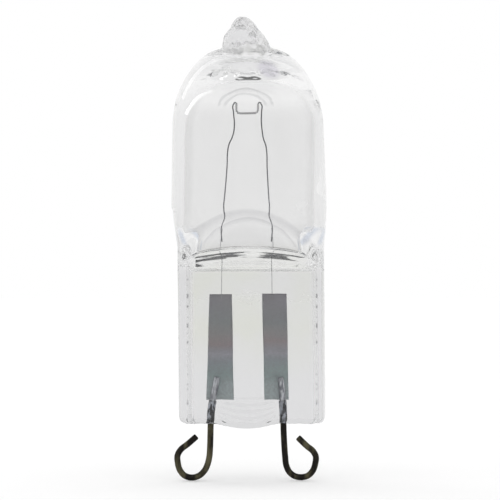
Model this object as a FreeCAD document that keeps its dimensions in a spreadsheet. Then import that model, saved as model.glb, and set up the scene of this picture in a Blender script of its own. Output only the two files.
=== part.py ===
import FreeCAD, Part
import math
import os
import Sketcher

# Halogen capsule bulb with looped wire pins: one blown and pressed quartz envelope, a coiled tungsten filament,
# and on each side a core wire, a molybdenum foil and an outer lead bent into a loop pin.
# Millimetres. +Z points to the dome, the pins lie in the XZ plane, and the origin is on the pins' midline
# at the lowest level of the loops.

V = FreeCAD.Vector
os.makedirs("parts", exist_ok=True)
doc = FreeCAD.newDocument("halogen_capsule_bulb")

# Driving dimensions
sizes = {
    # loop pins
    "pin_spacing": 9.0,          # centre to centre of the two loops
    "pin_wire": 0.5,             # diameter of the outer lead wire
    "loop_radius": 1.37,         # centreline radius of the loop's lower half
    "loop_rise": 0.55,           # straight rise on the loop's outer side
    "hook_radius": 0.8,          # bend at the top of the outer side
    "hook_turn": 49,             # degrees that the end turns inward from upright
    "hook_run": 1.75,            # straight end of the hook
    "lead_clear": 4.95,          # from the loops' lowest level up to the pressed end
    "lead_depth": 3.9,           # how far the lead reaches into the quartz
    "lead_top_left": 2.5,        # left lead's upper end from the midline
    "lead_top_right": 2.84,      # right lead's upper end from the midline
    "lead_bend_level": 0.6,      # height of the lead's slight bend above the pressed end
    "capillary_gap": 0.05,       # open gap round each lead at the pressed end
    "capillary_depth": 1.9,      # how far that gap reaches up
    # foils and core wires
    "foil_spacing": 4.54,        # centre to centre of the two foils
    "foil_width": 2.15,
    "foil_length": 8.95,
    "foil_sheet": 0.03,
    "foil_bottom": 1.95,         # foil's lower edge above the pressed end
    "weld_flat": 0.02,           # flat pressed on the lead where it is welded to the foil
    "core_wire": 0.05,
    "core_weld": 0.01,           # flat pressed on the core wire at the foil
    "core_lap": 0.5,             # core wire's length on the foil
    "core_spacing": 4.3,         # between the core wires' lower ends
    "core_grip": 0.8,            # core wire's length inside the filament leg
    "core_bend_drop": 0.35,      # how far the core wire's slight bend is below the leg
    # filament
    "leg_clear": 0.9,            # from the gas space's floor up to the legs' lower ends
    "leg_spacing": 4.14,         # between the legs' lower ends
    "knee_drop": 1.1,            # from the neck down to the knee
    "knee_spacing": 3.3,
    "neck_drop": 1.2,            # from the throat down to the neck
    "neck_spacing": 2.5,
    "throat_drop": 0.83,         # from the coil's level run down to the throat
    "throat_spacing": 2.32,
    "coil_clear": 1.9,           # from the gas space's crown down to the coil's two ends
    "coil_span": 1.86,           # between the coil's upright ends, centre to centre
    "coil_rise": 1.17,           # height of its ends above its level run
    "coil_corner": 0.35,         # bend between them, on the centreline
    "coil_diameter": 0.24,       # outside of the coil
    "coil_pitch": 0.2,
    "strand": 0.09,              # thickness of the wire
    "turn_gap": 0.27,            # from the coil's centreline out to the leg that rises beside it
    "turn_rise": 0.12,           # height of the turn that joins them, above the coil's ends
    # quartz envelope
    "tube_offset": 0.2,          # tube's axis from the pins' midline
    "tube_diameter": 13.3,       # at the press
    "tube_upper_diameter": 12.8,  # where the round dome starts
    "tube_height": 12.3,         # from the ramps' foot to the dome
    "wall": 0.85,                # of the upper tube
    "crown_thickness": 2.6,      # quartz gathered over the gas space
    "press_offset": 0.25,        # pressed end's middle from the tube's axis
    "press_width": 12.5,
    "press_height": 13.35,       # from the pressed end's lower edge up to the ramps
    "press_thickness": 4.2,      # over the edge ribs
    "web_thickness": 3.0,        # between the panels pressed front and back
    "web_height": 12.95,
    "rib_width": 0.95,
    "press_corner": 0.7,
    "shoulder_rise": 1.5,        # from the ramps' foot to where the side has the pressed width
    "shoulder_height": 2.1,
    "ramp_rise": 4.5,            # height of the ramps at the middle
    "bulge_width": 3.6,          # swelling of the lower edge between the leads
    "bulge_drop": 0.3,
    "floor_rise": 1.8,           # from the ramps' foot up to the gas space's floor
    "floor_reach": 5.1,          # half length of the floor
    "floor_radius": 18.0,        # the floor drops to the sides on this radius
    "ramp_wall": 1.4,            # quartz between outer and inner ramp, measured front to back
    # exhaust tip, closed by melting: level above the dome's crown and width of each section
    "tip_root_drop": 0.5,
    "tip_root_width": 4.1,
    "tip_waist_level": 0.6,
    "tip_waist_width": 3.5,
    "tip_shoulder_level": 1.05,
    "tip_shoulder_width": 3.0,
    "tip_neck_level": 1.75,
    "tip_neck_width": 1.95,
    "tip_top_level": 2.38,
    "tip_top_width": 0.7,
    "tip_sides": 12,             # the melted sections are drawn as polygons
    "tip_lean": 0.5,             # the top stands this far to the left of the root
    "tip_offset": 0.1,           # the root stands this far to the left of the tube's axis
    # how far cutting shapes reach beyond what they cut
    "cut_margin": 1.0,
}
sheet = doc.addObject("Spreadsheet::Sheet", "Sizes")
for row, (name, number) in enumerate(sizes.items(), start=1):
    sheet.set("A%d" % row, name)
    sheet.set("B%d" % row, str(number))
    sheet.setAlias("B%d" % row, name)
doc.recompute()

# Places that follow from the driving dimensions
formulas = {
    "pin_radius": "Sizes.pin_wire / 2",
    "bore_radius": "pin_radius + Sizes.capillary_gap",
    "loop_centre_z": "pin_radius + Sizes.loop_radius",
    "run_inner_x": "Sizes.pin_spacing / 2 - Sizes.loop_radius",
    "run_outer_x": "Sizes.pin_spacing / 2 + Sizes.loop_radius",
    "hook_start_z": "loop_centre_z + Sizes.loop_rise",
    "hook_bend_x": "run_outer_x - Sizes.hook_radius * (1 - cos(Sizes.hook_turn * 1 deg))",
    "hook_bend_z": "hook_start_z + Sizes.hook_radius * sin(Sizes.hook_turn * 1 deg)",
    "hook_end_x": "hook_bend_x - Sizes.hook_run * sin(Sizes.hook_turn * 1 deg)",
    "hook_end_z": "hook_bend_z + Sizes.hook_run * cos(Sizes.hook_turn * 1 deg)",
    "lead_top_z": "Sizes.lead_clear + Sizes.lead_depth",
    "lead_bend_z": "Sizes.lead_clear + Sizes.lead_bend_level",
    "bore_top_z": "Sizes.lead_clear + Sizes.capillary_depth",
    "foil_z": "Sizes.lead_clear + Sizes.foil_bottom",
    "foil_top_z": "foil_z + Sizes.foil_length",
    "foil_face_y": "pin_radius - Sizes.weld_flat",
    "core_radius": "Sizes.core_wire / 2",
    "core_y": "foil_face_y - core_radius + Sizes.core_weld",
    "core_foot_x": "Sizes.core_spacing / 2",
    "core_foot_z": "foil_top_z - Sizes.core_lap",
    "press_top_z": "Sizes.lead_clear + Sizes.press_height",
    "web_top_z": "Sizes.lead_clear + Sizes.web_height",
    "floor_z": "press_top_z + Sizes.floor_rise",
    "tube_radius": "Sizes.tube_diameter / 2",
    "tube_left": "-tube_radius",
    "outside": "tube_radius + Sizes.cut_margin",
    "outside_left": "-outside",
    "blank_z": "Sizes.lead_clear - Sizes.bulge_drop - Sizes.cut_margin",
    "beneath_z": "blank_z - Sizes.cut_margin",
    "dome_radius": "Sizes.tube_upper_diameter / 2",
    "dome_z": "press_top_z + Sizes.tube_height",
    "crown_z": "dome_z + dome_radius",
    "gas_radius": "dome_radius - Sizes.wall",
    "gas_left": "-gas_radius",
    "gas_crown_z": "crown_z - Sizes.crown_thickness",
    "gas_dome_z": "gas_crown_z - gas_radius",
    "coil_right": "Sizes.coil_span / 2",
    "coil_left": "-coil_right",
    "coil_top_z": "gas_crown_z - Sizes.coil_clear",
    "coil_low_z": "coil_top_z - Sizes.coil_rise",
    "coil_bend_z": "coil_low_z + Sizes.coil_corner",
    "coil_bend_right": "coil_right - Sizes.coil_corner",
    "coil_bend_left": "-coil_bend_right",
    "crest_x": "coil_right + Sizes.turn_gap",
    "crest_z": "coil_top_z",
    "turn_x": "coil_right + Sizes.turn_gap / 2",
    "turn_z": "coil_top_z + Sizes.turn_rise",
    "throat_x": "Sizes.throat_spacing / 2",
    "throat_z": "coil_low_z - Sizes.throat_drop",
    "neck_x": "Sizes.neck_spacing / 2",
    "neck_z": "throat_z - Sizes.neck_drop",
    "knee_x": "Sizes.knee_spacing / 2",
    "knee_z": "neck_z - Sizes.knee_drop",
    "leg_x": "Sizes.leg_spacing / 2",
    "leg_z": "floor_z + Sizes.leg_clear",
    "leg_lean": "atan((leg_x - knee_x) / (knee_z - leg_z)) / 1 deg",
    "grip_x": "leg_x - Sizes.core_grip * sin(leg_lean * 1 deg)",
    "grip_z": "leg_z + Sizes.core_grip * cos(leg_lean * 1 deg)",
    "core_bend_x": "leg_x + Sizes.core_bend_drop * sin(leg_lean * 1 deg)",
    "core_bend_z": "leg_z - Sizes.core_bend_drop * cos(leg_lean * 1 deg)",
    "core_lean": "atan((core_foot_x - core_bend_x) / (core_bend_z - core_foot_z)) / 1 deg",
    "shoulder_z": "press_top_z + Sizes.shoulder_rise",
    "shoulder_top_z": "shoulder_z + Sizes.shoulder_height",
    "ramp_top_z": "press_top_z + Sizes.ramp_rise",
    "press_half": "Sizes.press_thickness / 2",
    "press_half_back": "-press_half",
    "web_half": "Sizes.web_thickness / 2",
    "web_half_back": "-web_half",
    "web_width": "Sizes.press_width - 2 * Sizes.rib_width",
    "press_left": "Sizes.press_offset - Sizes.press_width / 2",
    "press_right": "Sizes.press_offset + Sizes.press_width / 2",
    "corner_left": "press_left + Sizes.press_corner",
    "corner_right": "press_right - Sizes.press_corner",
    "corner_z": "Sizes.lead_clear + Sizes.press_corner",
    "bulge_left": "-Sizes.tube_offset - Sizes.bulge_width / 2",
    "bulge_right": "-Sizes.tube_offset + Sizes.bulge_width / 2",
    "bulge_radius": "(Sizes.bulge_width ^ 2 / 4 + Sizes.bulge_drop ^ 2) / (2 * Sizes.bulge_drop)",
    "ramp_slope": "(tube_radius - press_half) / Sizes.ramp_rise",
    "floor_half": "press_half + Sizes.floor_rise * ramp_slope - Sizes.ramp_wall",
    "floor_half_back": "-floor_half",
    "floor_side_z": "floor_z - Sizes.floor_radius + sqrt(Sizes.floor_radius ^ 2 - outside ^ 2)",
    "gas_ramp_z": "press_top_z + (gas_radius + Sizes.ramp_wall - press_half) / ramp_slope",
}
for side in ("left", "right"):
    lean = "lead_lean_" + side
    formulas[lean] = "atan((run_inner_x - Sizes.lead_top_%s) / (lead_top_z - lead_bend_z)) / 1 deg" % side
places = doc.addObject("Spreadsheet::Sheet", "Places")
for row, (name, formula) in enumerate(formulas.items(), start=1):
    places.set("A%d" % row, name)
    places.set("B%d" % row, "=" + formula)
    places.setAlias("B%d" % row, name)
doc.recompute()


def reference(name):
    """The cell that holds a size or a place."""
    return ("Sizes." if name in sizes else "Places.") + name


def value(name):
    """A size or a place as a number, or zero for a point on an axis."""
    if name is None:
        return 0.0
    return float(sheet.get(name) if name in sizes else places.get(name))


def draw(sketch, corners, closed=True, mirror=1):
    """Lines and arcs through corners: across, up, and for an arc to the next corner its radius and turn."""
    points = [V(mirror * value(corner[0]), value(corner[1]), 0) for corner in corners]
    spans = len(corners) if closed else len(corners) - 1
    ends = []
    for index in range(spans):
        start, end = points[index], points[(index + 1) % len(points)]
        if len(corners[index]) == 2:
            ends.append((sketch.addGeometry(Part.LineSegment(start, end), False), 1, 2))
            continue
        radius, turn = value(corners[index][2]), corners[index][3] * mirror
        chord = end - start
        rise = math.sqrt(max(radius ** 2 - (chord.Length / 2) ** 2, 0))
        left = V(-chord.y, chord.x, 0).normalize()
        centre = (start + end) * 0.5 + left * (rise * turn)
        first, last = (start, end) if turn > 0 else (end, start)
        angles = [math.atan2((point - centre).y, (point - centre).x) for point in (first, last)]
        arc = Part.ArcOfCircle(Part.Circle(centre, V(0, 0, 1), radius), angles[0], angles[1])
        number = sketch.addGeometry(arc, False)
        ends.append((number, 1, 2) if turn > 0 else (number, 2, 1))
        if chord.Length < 2 * radius - 1e-6:
            rule = sketch.addConstraint(Sketcher.Constraint("Radius", number, radius))
            sketch.setExpression("Constraints[%d]" % rule, reference(corners[index][2]))
        else:
            middle = sketch.addConstraint(Sketcher.Constraint("DistanceY", -1, 1, number, 3, centre.y))
            sketch.setExpression("Constraints[%d]" % middle, reference(corners[index][1]))
    for index in range(spans if closed else spans - 1):
        here, following = ends[index], ends[(index + 1) % len(ends)]
        sketch.addConstraint(Sketcher.Constraint("Coincident", here[0], here[2], following[0], following[1]))
    sign = "" if mirror > 0 else "-"
    for index, corner in enumerate(corners):
        number, point = (ends[index][0], ends[index][1]) if index < spans else (ends[-1][0], ends[-1][2])
        if corner[0] is None:
            sketch.addConstraint(Sketcher.Constraint("PointOnObject", number, point, -2))
        else:
            rule = sketch.addConstraint(Sketcher.Constraint("DistanceX", -1, 1, number, point, points[index].x))
            sketch.setExpression("Constraints[%d]" % rule, sign + reference(corner[0]))
        rule = sketch.addConstraint(Sketcher.Constraint("DistanceY", -1, 1, number, point, points[index].y))
        sketch.setExpression("Constraints[%d]" % rule, reference(corner[1]))


def profile(body, name, plane_role, *outlines):
    """A sketch with closed outlines on one of the body's own origin planes."""
    sketch = body.newObject("Sketcher::SketchObject", name)
    plane = next(feature for feature in body.Origin.OriginFeatures if feature.Role == plane_role)
    sketch.AttachmentSupport = [(plane, "")]
    sketch.MapMode = "FlatFace"
    for corners in outlines:
        draw(sketch, corners)
    return sketch


def turned(body, name, sketch):
    """Turns the sketch about the body's Z axis."""
    feature = body.newObject("PartDesign::Revolution", name)
    feature.Profile = sketch
    feature.ReferenceAxis = (sketch, ["V_Axis"])
    feature.Angle = 360
    doc.recompute()


def pocket(body, name, sketch, length=None):
    """Cuts the sketch evenly to both sides of its plane, and makes sure that it removes something."""
    before = body.Shape.Volume
    feature = body.newObject("PartDesign::Pocket", name)
    feature.Profile = sketch
    feature.Midplane = True
    feature.Type = "ThroughAll" if length is None else "Length"
    if length is not None:
        feature.setExpression("Length", reference(length))
    doc.recompute()
    if body.Shape.Volume > before - 0.001:
        raise RuntimeError(name + " cuts nothing")


def combine(kind, name, **links):
    """A boolean of other objects."""
    thing = doc.addObject(kind, name)
    for link, target in links.items():
        setattr(thing, link, target)
    return thing


def box(name, length, width, height, x, y, z):
    """A box with its sizes and its corner bound to formulas."""
    thing = doc.addObject("Part::Box", name)
    for key, formula in (("Length", length), ("Width", width), ("Height", height),
                         ("Placement.Base.x", x), ("Placement.Base.y", y), ("Placement.Base.z", z)):
        thing.setExpression(key, formula)
    return thing


# Outside of the envelope: tube and dome are turned, and the lower end is pressed flat and trimmed
blank = doc.addObject("PartDesign::Body", "envelope_outside")
blank.setExpression("Placement.Base.x", "Sizes.tube_offset")
turned(blank, "blown_tube", profile(blank, "tube_outline", "XZ_Plane", [
    (None, "blank_z"),
    ("tube_radius", "blank_z"),
    ("tube_radius", "shoulder_top_z"),
    ("dome_radius", "dome_z", "dome_radius", 1),
    (None, "crown_z"),
]))
pocket(blank, "pressed_ramps", profile(blank, "ramp_outlines", "YZ_Plane", *[
    [(half, "beneath_z"), (out, "beneath_z"), (out, "ramp_top_z"), (tube, "ramp_top_z"), (half, "press_top_z")]
    for half, tube, out in (("press_half", "tube_radius", "outside"), ("press_half_back", "tube_left", "outside_left"))
]))
pocket(blank, "pressed_outline", profile(blank, "trim_outline", "XZ_Plane", [
    ("outside_left", "shoulder_top_z"),
    ("tube_left", "shoulder_top_z"),
    ("press_left", "shoulder_z"),
    ("press_left", "corner_z", "press_corner", 1),
    ("corner_left", "lead_clear"),
    ("bulge_left", "lead_clear", "bulge_radius", 1),
    ("bulge_right", "lead_clear"),
    ("corner_right", "lead_clear", "press_corner", 1),
    ("press_right", "corner_z"),
    ("press_right", "shoulder_z"),
    ("tube_radius", "shoulder_top_z"),
    ("outside", "shoulder_top_z"),
    ("outside", "beneath_z"),
    ("outside_left", "beneath_z"),
]))
panel = profile(blank, "panel_outlines", "YZ_Plane", *[
    [(web, "beneath_z"), (out, "beneath_z"), (out, "web_top_z"), (web, "web_top_z")]
    for web, out in (("web_half", "outside"), ("web_half_back", "outside_left"))
])
panel.setExpression("AttachmentOffset.Base.z", "Sizes.press_offset")
pocket(blank, "pressed_panels", panel, "web_width")

# Exhaust tip: uneven melted sections, lofted
tip_sections = []
for section, level, width in (
    ("root", "-Sizes.tip_root_drop", "Sizes.tip_root_width"),
    ("waist", "Sizes.tip_waist_level", "Sizes.tip_waist_width"),
    ("shoulder", "Sizes.tip_shoulder_level", "Sizes.tip_shoulder_width"),
    ("neck", "Sizes.tip_neck_level", "Sizes.tip_neck_width"),
    ("top", "Sizes.tip_top_level", "Sizes.tip_top_width"),
):
    outline = doc.addObject("Part::RegularPolygon", "tip_" + section)
    outline.setExpression("Polygon", "Sizes.tip_sides")
    outline.setExpression("Circumradius", width + " / 2")
    share = "(%s + Sizes.tip_root_drop) / (Sizes.tip_top_level + Sizes.tip_root_drop)" % level
    outline.setExpression("Placement.Base.x", "Sizes.tube_offset - Sizes.tip_offset - Sizes.tip_lean * " + share)
    outline.setExpression("Placement.Base.z", "Places.crown_z + " + level)
    tip_sections.append(outline)
tip = doc.addObject("Part::Loft", "exhaust_tip")
tip.Sections = tip_sections
tip.Solid = True
tip.Ruled = True

# Gas space: follows the tube and dome, and narrows between the ramps to an arched floor
gas = doc.addObject("PartDesign::Body", "gas_space")
gas.setExpression("Placement.Base.x", "Sizes.tube_offset")
turned(gas, "gas_turned", profile(gas, "gas_outline", "XZ_Plane", [
    (None, "press_top_z"),
    ("floor_reach", "press_top_z"),
    ("floor_reach", "floor_z"),
    ("gas_radius", "shoulder_top_z"),
    ("gas_radius", "gas_dome_z", "gas_radius", 1),
    (None, "gas_crown_z"),
]))
pocket(gas, "gas_ramps", profile(gas, "gas_ramp_outlines", "YZ_Plane", *[
    [(half, "beneath_z"), (out, "beneath_z"), (out, "gas_ramp_z"), (inner, "gas_ramp_z"), (half, "floor_z")]
    for half, inner, out in (("floor_half", "gas_radius", "outside"), ("floor_half_back", "gas_left", "outside_left"))
]))
pocket(gas, "gas_floor", profile(gas, "floor_outline", "XZ_Plane", [
    ("outside_left", "beneath_z"),
    ("outside_left", "floor_side_z", "floor_radius", -1),
    ("outside", "floor_side_z"),
    ("outside", "beneath_z"),
]))


def swept(name, corners, mirror, level, radius, lean):
    """A round wire along a path in the XZ plane, shifted to its own depth."""
    path = doc.addObject("Sketcher::SketchObject", name + "_path")
    draw(path, corners, closed=False, mirror=mirror)
    path.Placement = FreeCAD.Placement(V(0, 0, 0), FreeCAD.Rotation(V(1, 0, 0), 90))
    section = doc.addObject("Part::Circle", name + "_section")
    section.setExpression("Radius", radius)
    section.Placement = FreeCAD.Placement(V(0, 0, 0), FreeCAD.Rotation(V(0, -mirror, 0), 10))
    section.setExpression("Placement.Rotation.Angle", lean)
    section.setExpression("Placement.Base.x", ("" if mirror > 0 else "-") + reference(corners[0][0]))
    section.setExpression("Placement.Base.z", reference(corners[0][1]))
    for thing in (path, section):
        thing.setExpression("Placement.Base.y", level)
    doc.recompute()
    wire = doc.addObject("Part::Sweep", name)
    wire.Sections = [section]
    wire.Spine = (path, ["Edge%d" % (number + 1) for number in range(len(corners) - 1)])
    wire.Solid = True
    wire.Frenet = False
    wire.Transition = "Right corner"
    return wire


nodes = []
seats = []
for side, mirror in (("left", -1), ("right", 1)):
    sign = "" if mirror > 0 else "-"
    foil_x = sign + "Sizes.foil_spacing / 2 - Sizes.foil_width / 2"

    # Foil: a thin strip that carries the current through the pressed quartz
    foil = box("foil_" + side, "Sizes.foil_width", "Sizes.foil_sheet", "Sizes.foil_length",
               foil_x, "Places.foil_face_y", "Places.foil_z")
    flats = box("weld_flats_" + side, "Sizes.foil_width", "Sizes.pin_wire", "Sizes.foil_length",
                foil_x, "Places.foil_face_y", "Places.foil_z")

    # Outer lead: from its weld on the foil down through the pressed end, then bent into the loop
    route = [
        ("lead_top_" + side, "lead_top_z"),
        ("run_inner_x", "lead_bend_z"),
        ("run_inner_x", "loop_centre_z", "loop_radius", 1),
        ("run_outer_x", "loop_centre_z"),
        ("run_outer_x", "hook_start_z", "hook_radius", 1),
        ("hook_bend_x", "hook_bend_z"),
        ("hook_end_x", "hook_end_z"),
    ]
    lean = "Places.lead_lean_" + side
    lead_wire = swept("lead_wire_" + side, route, mirror, "0", "Places.pin_radius", lean)
    lead = combine("Part::Cut", "lead_pin_" + side, Base=lead_wire, Tool=flats)
    bore_wire = swept("bore_wire_" + side, route, mirror, "0", "Places.bore_radius", lean)
    bore_zone = box("bore_zone_" + side, "2 * Places.outside", "2 * Places.outside",
                    "Places.bore_top_z - Places.blank_z",
                    "-Places.outside", "-Places.outside", "Places.blank_z")
    bore = combine("Part::Common", "capillary_" + side, Base=bore_wire, Tool=bore_zone)

    # Core wire: from its weld on the foil up into the filament's leg
    core_wire = swept("core_rod_" + side, [
        ("core_foot_x", "core_foot_z"),
        ("core_bend_x", "core_bend_z"),
        ("grip_x", "grip_z"),
    ], mirror, "Places.core_y", "Places.core_radius", "Places.core_lean")
    core = combine("Part::Cut", "core_wire_" + side, Base=core_wire, Tool=flats)
    nodes += [foil, lead, core]
    seats += [foil, lead, bore, core]

# Envelope: one piece of quartz, hollow, and closed tightly round the metal in its pressed end
solid_quartz = combine("Part::MultiFuse", "solid_quartz", Shapes=[blank, tip])
blown_quartz = combine("Part::Cut", "blown_quartz", Base=solid_quartz, Tool=gas)
metal = combine("Part::MultiFuse", "embedded_metal", Shapes=seats)
nodes.append(combine("Part::Cut", "quartz_envelope", Base=blown_quartz, Tool=metal))
doc.recompute()


# Filament: one wire, coiled along a U between the legs, which rise beside it and turn over into its ends
coil_path = doc.addObject("Sketcher::SketchObject", "coil_path")
draw(coil_path, [
    ("coil_left", "coil_top_z"),
    ("coil_left", "coil_bend_z", "coil_corner", 1),
    ("coil_bend_left", "coil_low_z"),
    ("coil_bend_right", "coil_low_z", "coil_corner", 1),
    ("coil_right", "coil_bend_z"),
    ("coil_right", "coil_top_z"),
], closed=False)
coil_path.Placement = FreeCAD.Placement(V(0, 0, 0), FreeCAD.Rotation(V(1, 0, 0), 90))
coil_path.setExpression("Placement.Base.y", "Places.core_y")
doc.recompute()


def coil_points(per_turn):
    """The wire's centreline, wound round the coil's path in whole turns that start and end at the back."""
    route = Part.Wire(Part.sortEdges(coil_path.Shape.Edges)[0])
    steps = round(route.Length / value("coil_pitch")) * per_turn
    centres = route.discretize(steps + 1)
    if centres[0].x > centres[-1].x:
        centres.reverse()
    winding = (value("coil_diameter") - value("strand")) / 2
    back = V(0, 1, 0)
    points = []
    for index, centre in enumerate(centres):
        run = (centres[min(index + 1, steps)] - centres[max(index - 1, 0)]).normalize()
        angle = 2 * math.pi * index / per_turn
        points.append(centre + back * (winding * math.cos(angle)) + run.cross(back) * (winding * math.sin(angle)))
    return points


def wire_solid(points, radius, sides):
    """A wire with a many-sided section, mitred where it turns."""
    runs = [(end - start).normalize() for start, end in zip(points, points[1:])]
    across = runs[0].cross(V(0, 1, 0)).normalize()
    upward = runs[0].cross(across)
    ring = [points[0] + across * (radius * math.cos(2 * math.pi * number / sides))
            + upward * (radius * math.sin(2 * math.pi * number / sides)) for number in range(sides)]
    faces = [Part.Face(Part.makePolygon(ring + ring[:1]))]
    for index, run in enumerate(runs):
        following = runs[min(index + 1, len(runs) - 1)]
        mitre = (run + following).normalize()
        ahead = [corner + run * ((points[index + 1] - corner).dot(mitre) / run.dot(mitre)) for corner in ring]
        for number in range(sides):
            neighbour = (number + 1) % sides
            outline = [ring[number], ring[neighbour], ahead[neighbour], ahead[number], ring[number]]
            faces.append(Part.Face(Part.makePolygon(outline)))
        ring = ahead
    faces.append(Part.Face(Part.makePolygon(ring + ring[:1])))
    shell = Part.makeShell(faces)
    shell.sewShape()
    return Part.makeSolid(shell)


def filament_shape():
    """The coil with its legs, each bored at the foot for the core wire."""
    depth = value("core_y")
    bends = ("leg", "knee", "neck", "throat", "crest", "turn")
    left = [V(-value(name + "_x"), depth, value(name + "_z")) for name in bends]
    right = [V(-point.x, depth, point.z) for point in reversed(left)]
    shape = wire_solid(left + coil_points(per_turn=6) + right, value("strand") / 2, sides=5)
    for foot, knee in ((left[0], left[1]), (right[-1], right[-2])):
        bore = Part.makeCylinder(value("core_radius"), value("core_grip"), foot, knee - foot)
        shape = shape.cut(bore)
    return shape


filament = doc.addObject("Part::Feature", "filament")
filament.Shape = filament_shape()
filament.Placement = FreeCAD.Placement()
nodes.append(filament)
doc.recompute()

for thing in doc.Objects:
    if "Invalid" in thing.State or "Error" in thing.State:
        raise RuntimeError("%s failed: %s" % (thing.Name, thing.State))
for node in nodes:
    node.Label = node.Name
    if node.Shape.isNull() or not node.Shape.isValid():
        raise RuntimeError(node.Label + " has no valid shape")
for node in nodes:
    node.Shape.exportStep("parts/%s.step" % node.Label)
    print(node.Label, len(node.Shape.Solids), round(node.Shape.Volume, 4))
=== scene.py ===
import bpy
import math
import numpy as np
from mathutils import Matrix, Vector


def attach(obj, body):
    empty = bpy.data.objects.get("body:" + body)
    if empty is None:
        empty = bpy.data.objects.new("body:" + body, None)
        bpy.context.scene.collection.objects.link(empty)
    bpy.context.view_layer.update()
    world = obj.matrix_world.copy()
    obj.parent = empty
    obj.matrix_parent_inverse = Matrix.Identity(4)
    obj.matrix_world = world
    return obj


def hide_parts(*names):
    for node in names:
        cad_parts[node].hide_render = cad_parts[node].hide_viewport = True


# Halogen capsule bulb: clear fused quartz with a coiled filament, two foils and two looped wire pins.
# Sizes are in millimetres from the pins' midline, +Z towards the dome; meshes are written in metres.
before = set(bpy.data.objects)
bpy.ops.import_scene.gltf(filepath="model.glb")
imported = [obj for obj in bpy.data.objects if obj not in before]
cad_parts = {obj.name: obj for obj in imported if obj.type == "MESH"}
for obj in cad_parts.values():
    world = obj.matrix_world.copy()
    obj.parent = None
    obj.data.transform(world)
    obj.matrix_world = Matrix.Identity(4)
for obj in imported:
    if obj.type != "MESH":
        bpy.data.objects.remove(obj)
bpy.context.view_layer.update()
millimetre = 0.001
print("frame loaded with", len(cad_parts), "nodes")


def toLinear(hexColour):
    # each sRGB channel c becomes c / 12.92 below 0.04045, else ((c + 0.055) / 1.055) ^ 2.4
    channels = [int(hexColour[i:i + 2], 16) / 255 for i in (1, 3, 5)]
    return tuple(c / 12.92 if c <= 0.04045 else ((c + 0.055) / 1.055) ** 2.4 for c in channels) + (1.0,)


def addNode(tree, kind, inputs=(), stops=(), **settings):
    # one node with its settings; inputs come in order or by name, each a value or the socket that feeds it,
    # and stops are a colour ramp's positions and colours; the result is the node's outputs
    node = tree.nodes.new("ShaderNode" + kind)
    for name, setting in settings.items():
        setattr(node, name, setting)
    for key, given in inputs.items() if isinstance(inputs, dict) else enumerate(inputs):
        if isinstance(given, bpy.types.NodeSocket):
            tree.links.new(given, node.inputs[key])
        else:
            node.inputs[key].default_value = given
    if stops:
        elements = node.color_ramp.elements
        for stop in stops[1:-1]:
            elements.new(stop[0])
        for element, (position, hexColour) in zip(elements, stops):
            element.position = position
            element.color = toLinear(hexColour)
    return node.outputs


def rampProduct(tree, *ramps):
    # the product of clamped ramps; each is a socket, two levels and the ramp's values there, else 0 and 1:
    # first value + (second value - first value) * (socket - first level) / (second level - first level)
    product = 1.0
    for socket, first, second, *ends in ramps:
        ramp = addNode(tree, "MapRange", [socket, first, second, *(ends or (0.0, 1.0))])[0]
        product = addNode(tree, "Math", [product, ramp], operation="MULTIPLY")[0]
    return product


def awayFrom(tree, socket, middle):
    # |socket - middle|
    offset = addNode(tree, "Math", [socket, middle], operation="SUBTRACT")[0]
    return addNode(tree, "Math", [offset], operation="ABSOLUTE")[0]


def layered(tree, below, *layers):
    # layers laid over a colour in turn, each with its share: what lies below * (1 - share) + layer * share
    for share, layer in layers:
        below, over = [toLinear(c) if isinstance(c, str) else c for c in (below, layer)]
        below = addNode(tree, "Mix", {"Factor": share, "A": below, "B": over}, data_type="RGBA")["Result"]
    return below


def newMaterial(name):
    # an empty node tree, with the object's own coordinates in metres
    material = bpy.data.materials.new(name)
    material.use_nodes = True
    material.node_tree.nodes.clear()
    return material, material.node_tree, addNode(material.node_tree, "TexCoord")["Object"]


def smoothStep(x, low, high):
    # 3 t^2 - 2 t^3 with t running from 0 at low to 1 at high
    t = np.clip((x - low) / (high - low), 0, 1)
    return t * t * (3 - 2 * t)


def softRamp(x, softness):
    # softness * log(1 + exp(x / softness)): zero before x = 0 and x after it, with a rounded corner
    return softness * np.logaddexp(0, x / softness)


def stretches(rows):
    # evenly spaced levels for each stretch (from, to, number), one stretch after the other
    return np.concatenate([np.linspace(low, high, count, endpoint=False) for low, high, count in rows])


def resampled(path, count):
    # the same path with count points, evenly spread along its length
    length = np.append(0, np.cumsum(np.linalg.norm(np.diff(path, axis=0), axis=1)))
    even = np.linspace(0, length[-1], count)
    return np.stack([np.interp(even, length, path[:, k]) for k in range(path.shape[1])], axis=1)


def smoothPath(points, count):
    # a Hermite curve through the points; the direction at each is the mean of the two chords beside it,
    # each weighted by the length of the other
    p = np.array(points, float)
    step = np.linalg.norm(np.diff(p, axis=0), axis=1)[:, None]
    chord = np.diff(p, axis=0) / step
    inner = (chord[:-1] * step[1:] + chord[1:] * step[:-1]) / (step[1:] + step[:-1])
    slope = np.vstack([chord[:1], inner, chord[-1:]])
    s = np.linspace(0, len(step), max(count, len(p)) * 12)
    i = np.minimum(s.astype(int), len(step) - 1)
    t = (s - i)[:, None]
    curve = ((2 * t ** 3 - 3 * t ** 2 + 1) * p[i] + (t ** 3 - 2 * t ** 2 + t) * step[i] * slope[i]
             + (3 * t ** 2 - 2 * t ** 3) * p[i + 1] + (t ** 3 - t ** 2) * step[i] * slope[i + 1])
    return resampled(curve, count)


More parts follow.
